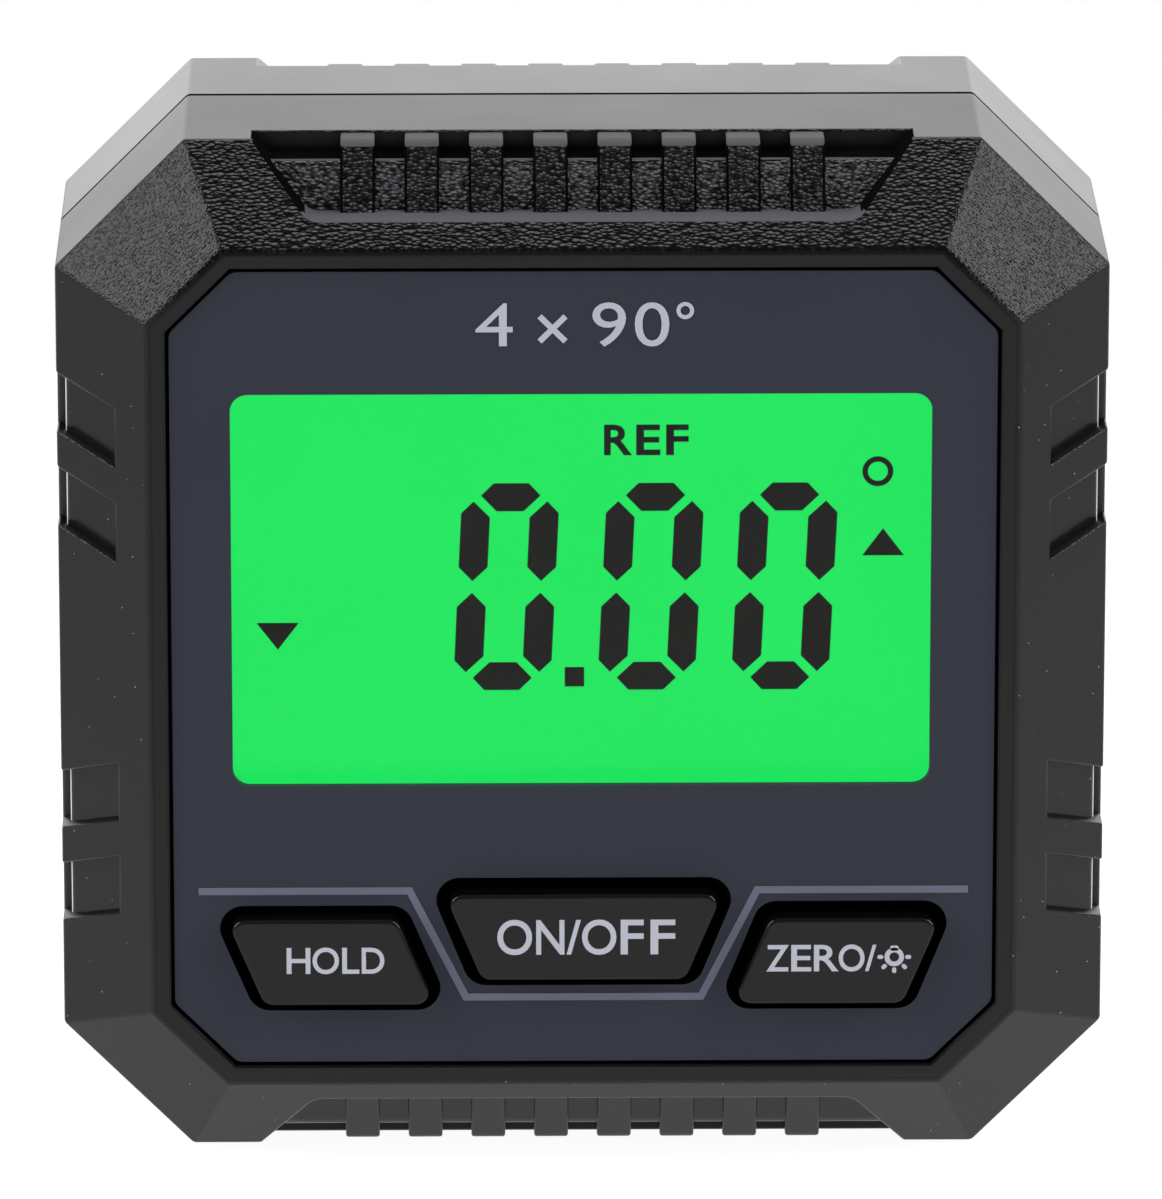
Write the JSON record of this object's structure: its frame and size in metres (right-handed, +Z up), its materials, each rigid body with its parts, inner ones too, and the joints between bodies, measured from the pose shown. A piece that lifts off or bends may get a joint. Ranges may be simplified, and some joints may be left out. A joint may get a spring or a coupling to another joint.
{
  "type": "digital angle gauge",
  "caption": "Square bevelled digital angle gauge with a lit display, slanted keys, ribbed grips, magnets behind its flat faces and a battery cover on the back.",
  "frame": {"origin": "middle of the lower measuring face, on the plane it stands on", "axes": "+X to the right of the display, +Y towards the back, +Z up; the display faces -Y"},
  "size_m": [0.06, 0.03, 0.06],
  "materials": {
    "shell_plastic": "black ABS, fine spark texture",
    "panel_print": "slate printed film, matt",
    "lens_clear": "clear acrylic, polished",
    "polariser_green": "film lit from behind",
    "display_glass": "float glass, polished",
    "film_white": "white film",
    "guide_green": "tinted acrylic",
    "lamp_body": "lamp package",
    "holder_white": "moulded white",
    "strip_rubber": "layered silicone",
    "board_laminate": "green solder mask",
    "chip_epoxy": "moulded epoxy",
    "metal_can": "plated can",
    "switch_plastic": "moulded black",
    "key_plastic": "matt moulded",
    "cell_sleeve": "printed sleeve",
    "contact_steel": "nickel plated spring steel",
    "lead_red": "soft insulation",
    "lead_black": "soft insulation",
    "screw_steel": "zinc plated",
    "magnet_nickel": "nickel plated"
  },
  "bodies": {
    "housing": {"front_shell": "shell_plastic", "rear_shell": "shell_plastic", "face_panel": "panel_print", "display_lens": "lens_clear", "front_polariser": "polariser_green", "front_glass": "display_glass", "rear_glass": "display_glass", "rear_polariser": "polariser_green", "diffuser": "film_white", "light_guide": "guide_green", "reflector": "film_white", "backlight_lamps": "lamp_body", "display_holder": "holder_white", "contact_strip": "strip_rubber", "circuit_board": "board_laminate", "controller_chip": "chip_epoxy", "tilt_sensor": "metal_can", "crystal": "metal_can", "chip_capacitors": "chip_epoxy", "switch_hold": "switch_plastic", "switch_power": "switch_plastic", "switch_zero": "switch_plastic", "cell_upper": "cell_sleeve", "cell_lower": "cell_sleeve", "negative_plate": "contact_steel", "negative_spring": "contact_steel", "positive_plate": "contact_steel", "bridge_plate": "contact_steel", "bridge_spring": "contact_steel", "negative_lead": "lead_black", "positive_lead": "lead_red", "case_screws": "screw_steel", "board_screws": "screw_steel", "magnet_base_left": "magnet_nickel", "magnet_base_right": "magnet_nickel", "magnet_left": "magnet_nickel", "magnet_right": "magnet_nickel"},
    "hold_key": {"key_hold": "key_plastic", "plunger_hold": "switch_plastic"},
    "power_key": {"key_power": "key_plastic", "plunger_power": "switch_plastic"},
    "zero_key": {"key_zero": "key_plastic", "plunger_zero": "switch_plastic"},
    "cover": {"battery_cover": "shell_plastic"}
  },
  "joints": [
    {"name": "hold_press", "type": "slide", "parent": "housing", "child": "hold_key", "axis": [0, 1, 0], "range_m": [0, 0.00035], "stiffness_N_per_m": 1000},
    {"name": "power_press", "type": "slide", "parent": "housing", "child": "power_key", "axis": [0, 1, 0], "range_m": [0, 0.00035], "stiffness_N_per_m": 1000},
    {"name": "zero_press", "type": "slide", "parent": "housing", "child": "zero_key", "axis": [0, 1, 0], "range_m": [0, 0.00035], "stiffness_N_per_m": 1000},
    {"name": "cover_hinge", "type": "hinge", "parent": "housing", "child": "cover", "pos_m": [0, 0.015, 0.0422], "axis": [1, 0, 0], "range_deg": [0, 60]}
  ]
}
